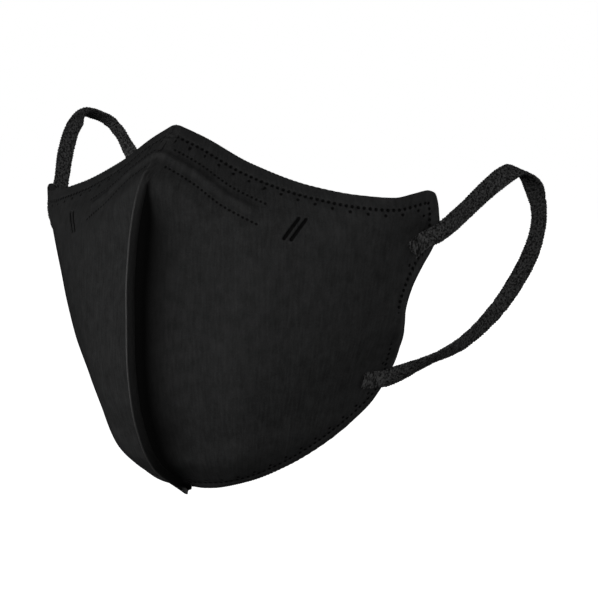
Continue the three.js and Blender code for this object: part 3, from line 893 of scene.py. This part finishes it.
@dataclass
class EarLoop:
    """One flat knitted loop, from its upper weld round its free run to its lower weld."""

    shell: Shell
    side: Side
    run: tuple[tuple[float, float, float, float], ...]
    width: float = 7.5
    thickness: float = 1.4
    reach: float = 66.0
    bow: float = 20.0
    upper_weld: tuple[tuple[float, float, float], ...] = ((0.950, 0.273, 1.5), (0.976, 0.218, 1.35),
                                                          (1.000, 0.042, 2.2))
    lower_weld: tuple[tuple[float, float, float], ...] = ((1.000, 0.900, 1.9), (0.927, 0.865, 1.35),
                                                          (0.851, 0.816, 1.5))
    stitch: float = 1.15
    wale: float = 1.0
    step: float = 0.3
    turns: int = 40
    weld_length: float = 8.5
    weld_thickness: float = 0.35
    weld_start: float = -2.5
    weld_end: float = 1.0
    fray: float = 0.5
    fray_reach: float = 1.8
    fray_knots: int = 14
    end_taper: float = 0.25
    end_reach: float = 0.6
    corner_x: float = 0.55
    corner_y: float = 0.75
    wander: float = 0.10
    wander_knots: int = 90
    leg_lean: float = 0.45
    wale_rise: float = 0.11
    course_rise: float = 0.10
    fluff: float = 0.08
    fused_fluff: float = 0.6
    press_rise: float = 0.09
    press_pitch: float = 1.1
    edge_swell: float = 0.8
    face_swell: float = 0.3
    bite: float = 0.05
    samples: int = 2000
    back_shift: float = 20.0
    seed: int = 3

    def lines(self) -> tuple[Route, Route]:
        """Lays the loop's centre line and the line of its facings.

        Returns:
            The two lines, with matching shares.
        """
        lift = self.shell.clearance + self.thickness / 2
        laid, facing = [], []
        for weld in (self.upper_weld, self.lower_weld):
            table = np.array(weld)
            outward = self.shell.axes(table[1:2, 0], table[1:2, 1])[2]
            facing.append(outward[0])
            laid.append(self.shell.point(table[:, 0], table[:, 1]) + outward * lift * table[:, 2:])
        upper, lower = laid
        start, drop = upper[1], lower[1] - upper[1]
        table = np.array(self.run)
        back, out = np.array([0.0, 1.0, 0.0]), np.array([1.0, 0.0, 0.0])
        free = start + table[:, :1] * self.reach * back + table[:, 1:2] * drop + table[:, 2:3] * self.bow * out
        route = Route(np.concatenate([upper, free, lower]), even=True)
        plane = unit(np.cross(back, drop))
        plane = plane * np.sign(plane[0])
        shares = (len(upper) + np.arange(len(free))) / (len(route.knots) - 1)
        outside = unit(np.cross(plane, route.heading(shares)))
        roll = np.radians(table[:, 3:])
        turned = plane * np.cos(roll) + outside * np.sin(roll)
        facings = np.concatenate([np.tile(facing[0], (len(upper), 1)), turned, np.tile(-facing[1], (len(lower), 1))])
        return route, Route(facings, even=False)

    def corners(self) -> tuple[Array, Array]:
        """Gives the corners of a flat rounded band, one unit wide and thick to either side of its middle."""
        angle = np.arange(self.turns) / self.turns * 2 * math.pi
        return (np.sign(np.cos(angle)) * np.abs(np.cos(angle)) ** self.corner_x,
                np.sign(np.sin(angle)) * np.abs(np.sin(angle)) ** self.corner_y)

    def section(self, run: Array, end_gap: Array, fused: Array) -> tuple[Array, Array, Array]:
        """Gives the knitted band's section at each place along it.

        Args:
            run: distances along the band.
            end_gap: distances from its nearer end.
            fused: how far each place is flattened by its weld, from 0 to 1.

        Returns:
            Each corner's place across the band, through it, and how far it is frayed along it.
        """
        rng = np.random.default_rng(self.seed)
        round_x, round_y = self.corners()
        wander = np.interp(run, np.linspace(0, run[-1], self.wander_knots), rng.normal(0, 1, self.wander_knots))
        taper = self.end_taper * np.exp(-(end_gap / self.end_reach) ** 2)
        half_width = self.width / 2 + self.wander * wander * (1 - fused) - taper
        half_thick = (self.thickness * (1 - fused) + self.weld_thickness * fused) / 2
        x, y = round_x[None] * half_width[:, None], round_y[None] * half_thick[:, None]
        row = x / self.wale
        leg = np.abs(2 * (row - np.floor(row)) - 1)
        course = run[:, None] / self.stitch + self.leg_lean * leg
        knit = (self.wale_rise * np.cos(2 * math.pi * (row - 0.5))
                + self.course_rise * np.cos(2 * math.pi * course))
        fluff = rng.normal(0, self.fluff, x.shape)
        press = self.press_rise * np.cos(2 * math.pi * x / self.press_pitch)
        swell = (knit + fluff) * (1 - fused[:, None]) + (press + fluff * self.fused_fluff) * fused[:, None]
        x = x + swell * round_x[None] * self.edge_swell
        y = y + swell * np.sign(round_y)[None] * np.abs(round_y)[None] ** self.face_swell
        turned = np.abs(np.arange(self.turns) / self.turns * 2 * math.pi - math.pi)
        knots = rng.normal(0, self.fray, self.fray_knots)
        columns = np.interp(turned, np.linspace(0, math.pi, self.fray_knots), knots)
        return x, y, columns[None] * np.exp(-(end_gap[:, None] / self.fray_reach) ** 2)

    def build(self, finish: bpy.types.Material) -> bpy.types.Object:
        """Makes the loop.

        Args:
            finish: the knit's material.

        Returns:
            The piece.
        """
        route, facings = self.lines()
        fine = np.linspace(0, 1, self.samples)
        lengths = run_lengths(route.at(fine))
        total = lengths[-1]
        rings = int(total / self.step)
        run = np.linspace(0, total, rings + 1)
        share = np.interp(run, lengths, fine)
        centre, heading = route.at(share), route.heading(share)
        across = unit(np.cross(heading, facings.at(share)))
        face = unit(np.cross(across, heading))
        end_gap = np.minimum(run, total - run)
        fused = 1 - smooth_step(end_gap, self.weld_length + self.weld_start, self.weld_length + self.weld_end)
        x, y, frayed = self.section(run, end_gap, fused)
        sink = fused * (self.shell.clearance + (self.thickness - self.weld_thickness) / 2 - self.bite)
        sink = sink * np.where(run < total / 2, 1.0, -1.0)
        points = (centre[:, None] + across[:, None] * x[..., None] + face[:, None] * (y - sink[:, None])[..., None]
                  + heading[:, None] * frayed[..., None])
        points = points.reshape(-1, 3) * (self.side.value, 1, 1)
        cloth = np.stack([(x + self.back_shift * np.sign(self.corners()[1])[None]).ravel(),
                          np.repeat(run, self.turns)], -1)
        faces = swept_faces(rings + 1, self.turns)
        if self.side is Side.LEFT:
            faces = [tuple(reversed(f)) for f in faces]
        name = self.side.name.lower()
        piece = mesh_piece(f"loop_{name}", points, faces, {"fused": np.repeat(fused, self.turns)}, cloth)
        piece.data.materials.append(finish)
        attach(piece, "root")
        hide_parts(f"ear_loop_{name}")
        LOG.info("loop_%s is %.0f mm long", name, total)
        return piece


# Finishes


class Shade:
    """A shader value that takes part in sums, each of which adds its own node."""

    def __init__(self, recipe: Recipe, socket: bpy.types.NodeSocket) -> None:
        """Keeps the socket and the recipe it belongs to."""
        self.recipe, self.socket = recipe, socket

    def _sum(self, operation: str, first: Shade | float, second: Shade | float) -> Shade:
        """Adds a node for one operation."""
        return self.recipe.node("ShaderNodeMath", {"operation": operation}, {0: first, 1: second})

    def __add__(self, other: Shade | float) -> Shade:
        """Adds."""
        return self._sum("ADD", self, other)

    def __radd__(self, other: float) -> Shade:
        """Adds to a number."""
        return self._sum("ADD", other, self)

    def __sub__(self, other: Shade | float) -> Shade:
        """Takes away."""
        return self._sum("SUBTRACT", self, other)

    def __rsub__(self, other: float) -> Shade:
        """Takes away from a number."""
        return self._sum("SUBTRACT", other, self)

    def __mul__(self, other: Shade | float) -> Shade:
        """Multiplies."""
        return self._sum("MULTIPLY", self, other)

    def __rmul__(self, other: float) -> Shade:
        """Multiplies a number."""
        return self._sum("MULTIPLY", other, self)


class Recipe:
    """A material's nodes, made one at a time."""

    def __init__(self, name: str) -> None:
        """Starts a material with its shader and nothing on it.

        Args:
            name: the material's name.
        """
        self.material = bpy.data.materials.new(name)
        self.material.use_nodes = True
        self.nodes, self.links = self.material.node_tree.nodes, self.material.node_tree.links
        self.shader = self.nodes["Principled BSDF"]

    def node(self, kind: str, settings: dict[str, object], inputs: dict[int | str, object],
             output: int | str = 0) -> Shade:
        """Adds a node.

        Args:
            kind: the node's type.
            settings: its own settings, set first.
            inputs: a value or a link for each socket named.
            output: which of its outputs is wanted.

        Returns:
            The output as a shader value.
        """
        made = self.nodes.new(kind)
        for key, value in settings.items():
            setattr(made, key, value)
        for key, value in inputs.items():
            self.feed(made.inputs[key], value)
        return Shade(self, made.outputs[output])

    def feed(self, socket: bpy.types.NodeSocket, value: object) -> None:
        """Links a shader value to a socket, or sets a plain one on it."""
        if isinstance(value, Shade):
            self.links.new(value.socket, socket)
        else:
            socket.default_value = value

    def number(self, name: str) -> Shade:
        """Reads a number kept at the piece's corners."""
        return self.node("ShaderNodeAttribute", {"attribute_name": name}, {}, "Fac")

    def place(self) -> Shade:
        """Gives the place on the object."""
        return self.node("ShaderNodeTexCoord", {}, {}, "Object")

    def cloth(self, stretch: tuple[float, float, float]) -> Shade:
        """Gives the place on the flat cloth, multiplied by stretch."""
        flat = self.node("ShaderNodeUVMap", {"uv_map": "cloth"}, {})
        return self.node("ShaderNodeMapping", {}, {"Vector": flat, "Scale": stretch})

    def noise(self, vector: Shade, scale: float, detail: float = 2.0, rough: float = 0.5) -> Shade:
        """Adds soft noise, from 0 to 1."""
        return self.node("ShaderNodeTexNoise", {}, {"Vector": vector, "Scale": scale, "Detail": detail,
                                                    "Roughness": rough}, "Fac")

    def blend(self, share: Shade, first: object, second: object) -> Shade:
        """Mixes two colours."""
        made = self.nodes.new("ShaderNodeMix")
        made.data_type = "RGBA"
        for socket, value in ((made.inputs[0], share), (made.inputs[6], first), (made.inputs[7], second)):
            self.feed(socket, value)
        return Shade(self, made.outputs[2])

    def limit(self, value: Shade, low: float, high: float, start: float = 0.0, end: float = 1.0) -> Shade:
        """Stretches the values from low to high over start to end, and holds them there."""
        return self.node("ShaderNodeMapRange", {"clamp": True},
                         {0: value, 1: low, 2: high, 3: start, 4: end})

    def bump(self, height: Shade, depth: float, strength: float) -> Shade:
        """Turns a height into small dents, depth metres deep."""
        return self.node("ShaderNodeBump", {}, {"Height": height, "Distance": depth, "Strength": strength})

    def finish(self, **sockets: object) -> bpy.types.Material:
        """Feeds the shader's sockets, named with underlines for blanks, and gives the material."""
        for key, value in sockets.items():
            self.feed(self.shader.inputs[key.replace("_", " ")], value)
        return self.material


def grey(level: float, warmth: float = 0.0) -> tuple[float, float, float, float]:
    """Gives a near-neutral colour, warmer or cooler by a small share."""
    return (level * (1 + warmth), level, level * (1 - warmth), 1.0)


@dataclass(frozen=True)
class Laminate:
    """Bonded nonwoven, near black, with fine upright ribbing, cloudy fibres, a painted shadow beside the fin and
    darker pressed marks that are partly painted shade.
    """

    dark: float = 0.0150
    light: float = 0.0350
    roughness: float = 0.80
    rib_pitch: float = 0.0011
    rib_length: float = 0.008
    cloud: float = 0.0045
    fibre: float = 0.0006
    shares: tuple[float, float, float] = (0.34, 0.33, 0.33)
    contrast: tuple[float, float] = (0.36, 0.64)
    warmth: float = -0.01
    # Painted shadow beside the fin: how much of it, and its tone as a share of dark.
    fin_shadow_share: float = 0.95
    fin_shadow_tone: float = 0.12
    # Darkening of welded dots and pressed bars: partly their own darker tone, partly painted shade in the hollows.
    weld_and_shade_share: float = 0.97
    weld_and_shade_tone: float = 0.05
    sheen: float = 0.16
    relief: float = 0.00022

    def make(self) -> bpy.types.Material:
        """Makes the material."""
        r = Recipe("laminate")
        ribbing = r.noise(r.cloth((1 / self.rib_pitch, 1 / self.rib_length, 1)), 1.0, 3.0, 0.55)
        cloud = r.noise(r.place(), 1 / self.cloud, 3.0, 0.6)
        fibre = r.noise(r.place(), 1 / self.fibre, 2.0, 0.6)
        mark = r.number("mark")
        mixed = ribbing * self.shares[0] + cloud * self.shares[1] + fibre * self.shares[2]
        tone = r.limit(mixed, *self.contrast)
        colour = r.blend(tone, grey(self.dark, self.warmth), grey(self.light, self.warmth))
        # Painted shadow of the fin, darkening the cloth beside it.
        colour = r.blend(r.number("fin_shadow") * self.fin_shadow_share, colour, grey(self.dark * self.fin_shadow_tone))
        # Welded dots and pressed bars: partly their own darker tone and partly painted shade in the pits and slots.
        colour = r.blend(r.limit(mark, 0.1, 0.6) * self.weld_and_shade_share, colour, grey(self.dark * self.weld_and_shade_tone))
        height = ribbing * 0.6 + fibre * 0.4 - mark * 0.3
        roughness = r.limit(fibre, 0.3, 0.7, self.roughness - 0.05, self.roughness + 0.08)
        return r.finish(Base_Color=colour, Roughness=roughness, Specular_IOR_Level=self.sheen,
                        Normal=r.bump(height, self.relief, 0.55))


@dataclass(frozen=True)
class FusedEdge:
    """The welded edge: plain cloth over the nose, and fused below it, with a painted highlight along its tip and
    left flank and painted shade on its right flank and back.
    """

    cloth_tone: float = 0.023
    # Painted highlight tone for the fused tip and left flank, and painted shade tone for the right flank and back.
    fused_highlight_tone: float = 0.050
    flank_shade_tone: float = 0.0025
    cloth_roughness: float = 0.78
    fused_roughness: float = 0.50
    cloud: float = 0.0045
    fibre: float = 0.0006
    contrast: tuple[float, float] = (0.36, 0.64)
    sheen: float = 0.4
    relief: float = 0.00015

    def make(self) -> bpy.types.Material:
        """Makes the material."""
        r = Recipe("fused_edge")
        fused = r.number("fused")
        fibre = r.noise(r.place(), 1 / self.fibre, 2.0, 0.6)
        cloud = r.noise(r.place(), 1 / self.cloud, 3.0, 0.6)
        tone = r.limit(fibre * 0.5 + cloud * 0.5, *self.contrast)
        cloth = r.blend(tone, grey(self.cloth_tone * 0.7), grey(self.cloth_tone * 1.25))
        # Painted highlight on the tip and left flank, painted shade on the right flank and back.
        painted_tip_and_flank = r.blend(r.limit(fibre, 0.3, 0.7), grey(self.fused_highlight_tone * 0.8), grey(self.fused_highlight_tone * 1.15))
        painted_tip_and_flank = r.blend(r.number("tip"), grey(self.flank_shade_tone), painted_tip_and_flank)
        roughness = self.cloth_roughness + fused * (self.fused_roughness - self.cloth_roughness)
        return r.finish(Base_Color=r.blend(fused, cloth, painted_tip_and_flank), Roughness=roughness, Specular_IOR_Level=self.sheen,
                        Normal=r.bump(fibre, self.relief, 0.4))


@dataclass(frozen=True)
class Knit:
    """Soft knitted elastic, speckled by the gaps between its stitches."""

    dark: float = 0.003
    light: float = 0.078
    fused_light: float = 0.095
    speck: float = 0.0009
    yarn: float = 1.15
    streak: tuple[float, float, float] = (1300.0, 1300.0, 260.0)
    contrast: tuple[float, float] = (0.43, 0.57)
    fused_contrast: tuple[float, float] = (0.42, 0.58)
    roughness: float = 0.92
    sheen: float = 0.2
    relief: float = 0.0003

    def make(self) -> bpy.types.Material:
        """Makes the material."""
        r = Recipe("knit")
        fused = r.number("fused")
        yarn = r.noise(r.cloth((1 / MM, 1 / MM, 1)), self.yarn, 2.0, 0.6)
        speck = r.noise(r.place(), 1 / self.speck, 2.0, 0.65)
        tone = r.limit(yarn * 0.5 + speck * 0.5, *self.contrast)
        loose = r.blend(tone, grey(self.dark), grey(self.light))
        upright = r.node("ShaderNodeMapping", {}, {"Vector": r.place(), "Scale": self.streak})
        streak = r.limit(r.noise(upright, 1.0, 2.0, 0.6) * 0.65 + speck * 0.35, *self.fused_contrast)
        welded = r.blend(streak, grey(self.dark * 2), grey(self.fused_light))
        return r.finish(Base_Color=r.blend(fused, loose, welded), Roughness=self.roughness,
                        Specular_IOR_Level=self.sheen, Normal=r.bump(speck * 0.6 + yarn * 0.4, self.relief, 0.8))


@dataclass(frozen=True)
class Wire:
    """Dull flat metal strip, drawn lengthwise."""

    tone: float = 0.42
    grain: float = 900.0
    metal: float = 0.85

    def make(self) -> bpy.types.Material:
        """Makes the material."""
        r = Recipe("wire")
        drawn = r.noise(r.place(), self.grain, 2.0)
        return r.finish(Base_Color=r.blend(drawn, grey(self.tone * 0.8), grey(self.tone)), Metallic=self.metal,
                        Roughness=r.limit(drawn, 0.3, 0.7, 0.35, 0.5), Normal=r.bump(drawn, 0.00005, 0.3))


# Studio


@dataclass(frozen=True)
class Lamp:
    """A soft square lamp aimed at the mask."""

    name: str
    azimuth: float
    elevation: float
    distance: float
    size: float
    power: float

    def place(self, aim: Vector) -> None:
        """Puts the lamp up.

        Args:
            aim: the point it faces.
        """
        a, e = math.radians(self.azimuth), math.radians(self.elevation)
        toward = Vector((math.sin(a) * math.cos(e), -math.cos(a) * math.cos(e), math.sin(e)))
        data = bpy.data.lights.new(self.name, "AREA")
        data.energy, data.size = self.power, self.size
        lamp = bpy.data.objects.new(self.name, data)
        lamp.location = aim + toward * self.distance
        lamp.rotation_mode = "QUATERNION"
        lamp.rotation_quaternion = (-toward).to_track_quat("-Z", "Y")
        bpy.context.scene.collection.objects.link(lamp)


@dataclass
class Studio:
    """White floor and air, soft lamps, and the camera where the photograph was taken."""

    azimuth: float = 34.0
    elevation: float = 5.28
    distance: float = 0.720
    aim: tuple[float, float, float] = (0.0, -0.0125, 0.0)
    turned_aside: float = 0.0336
    lens: float = 108.36
    sensor: float = 36.0
    clip: tuple[float, float] = (0.01, 100.0)
    floor_gap: float = 0.001
    floor_radius: float = 30.0
    floor_corners: int = 96
    floor_tone: float = 0.8
    lamp_aim: tuple[float, float, float] = (0.0, -0.02, 0.0)
    lamps: tuple[Lamp, ...] = (
        Lamp("key", 4.0, -2.0, 1.4, 1.0, 14.5),
        Lamp("left", -50.0, -6.0, 1.5, 1.4, 7.5),
        Lamp("right", 78.0, 6.0, 1.5, 1.2, 3.4),
        Lamp("right_back", 135.0, 12.0, 1.5, 1.2, 7.5),
        Lamp("left_back", -150.0, 10.0, 1.6, 1.0, 1.2),
    )

    def look(self) -> None:
        """Sets the camera."""
        a, e = math.radians(self.azimuth), math.radians(self.elevation)
        back = Vector((math.sin(a) * math.cos(e), -math.cos(a) * math.cos(e), math.sin(e)))
        right = Vector((math.cos(a), math.sin(a), 0.0))
        data = bpy.data.cameras.new("camera")
        data.lens, data.sensor_width = self.lens, self.sensor
        data.clip_start, data.clip_end = self.clip
        camera = bpy.data.objects.new("camera", data)
        camera.location = Vector(self.aim) + back * self.distance
        heading = Vector(self.aim) + right * self.turned_aside - camera.location
        camera.rotation_mode = "QUATERNION"
        camera.rotation_quaternion = heading.to_track_quat("-Z", "Y")
        bpy.context.scene.collection.objects.link(camera)
        bpy.context.scene.camera = camera

    def lay_floor(self) -> None:
        """Lays a white floor under the chin and hangs white air beyond it. Neither lights the mask."""
        for chosen in bpy.context.selected_objects:
            chosen.select_set(False)
        height = SOLID_BOX[0].z - self.floor_gap
        bpy.ops.mesh.primitive_circle_add(vertices=self.floor_corners, radius=self.floor_radius, fill_type="NGON",
                                          location=(0, 0, height))
        floor = bpy.context.active_object
        floor.name = "floor"
        recipe = Recipe("floor")
        recipe.finish(Base_Color=grey(self.floor_tone), Roughness=1.0, Emission_Color=grey(1.0),
                      Emission_Strength=1.0)
        floor.data.materials.append(recipe.material)
        floor.visible_diffuse = False
        floor.visible_glossy = False
        world = bpy.data.worlds.new("air")
        world.use_nodes = True
        world.node_tree.nodes["Background"].inputs["Color"].default_value = grey(1.0)
        world.node_tree.nodes["Background"].inputs["Strength"].default_value = 1.0
        bpy.context.scene.world = world
        world.cycles_visibility.diffuse = False
        world.cycles_visibility.glossy = False
        bpy.context.scene.view_settings.view_transform = "Standard"

    def build(self) -> None:
        """Sets the whole studio up."""
        self.look()
        self.lay_floor()
        for lamp in self.lamps:
            lamp.place(Vector(self.lamp_aim))


# Runs of the loops: for each knot, its shares of the reach, of the drop and of the bow, and the band's roll


RIGHT_RUN = (
    (0.25, -0.210, 0.25, 26), (0.41, -0.360, 0.33, 36), (0.53, -0.460, 0.43, 60), (0.62, -0.490, 0.50, 84),
    (0.77, -0.420, 0.61, 108), (0.90, -0.270, 0.74, 155), (0.98, -0.090, 0.83, 155), (0.99, 0.130, 0.87, 142),
    (0.95, 0.350, 0.82, 141), (0.84, 0.565, 0.75, 153), (0.65, 0.761, 0.62, 174), (0.33, 0.860, 0.54, 200),
)
LEFT_RUN = (
    (0.07, -0.210, 0.02, -14), (0.15, -0.350, -0.05, -8), (0.22, -0.600, -0.24, -14), (0.30, -0.790, -0.41, 0),
    (0.39, -0.885, -0.50, 26), (0.47, -0.922, -0.51, 84), (0.57, -0.905, -0.49, 92), (0.67, -0.860, -0.53, 98),
    (0.74, -0.760, -0.57, 103), (0.78, -0.650, -0.57, 102), (0.73, -0.490, -0.75, 95), (0.49, 0.290, 0.05, 130),
    (0.32, 0.700, 0.31, 150),
)


def main() -> None:
    """Builds the studio and every piece of the mask."""
    logging.basicConfig(level=logging.INFO, format="%(name)s: %(message)s", stream=sys.stdout)
    Studio().build()
    shell = Shell()
    welds = Welds(shell)
    panels = Panels(shell, welds, Lattice())
    for piece in panels.build(Laminate().make()):
        LOG.info("%s has %d faces", piece.name, len(piece.data.polygons))
    edge = FoldWeld(shell, welds).build(FusedEdge().make())
    LOG.info("%s has %d faces", edge.name, len(edge.data.polygons))
    knit = Knit().make()
    for side, run in ((Side.RIGHT, RIGHT_RUN), (Side.LEFT, LEFT_RUN)):
        loop = EarLoop(shell, side, run).build(knit)
        LOG.info("%s has %d faces", loop.name, len(loop.data.polygons))
    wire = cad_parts["nose_wire"]
    wire.data.materials.clear()
    wire.data.materials.append(Wire().make())


if __name__ == "__main__":
    main()
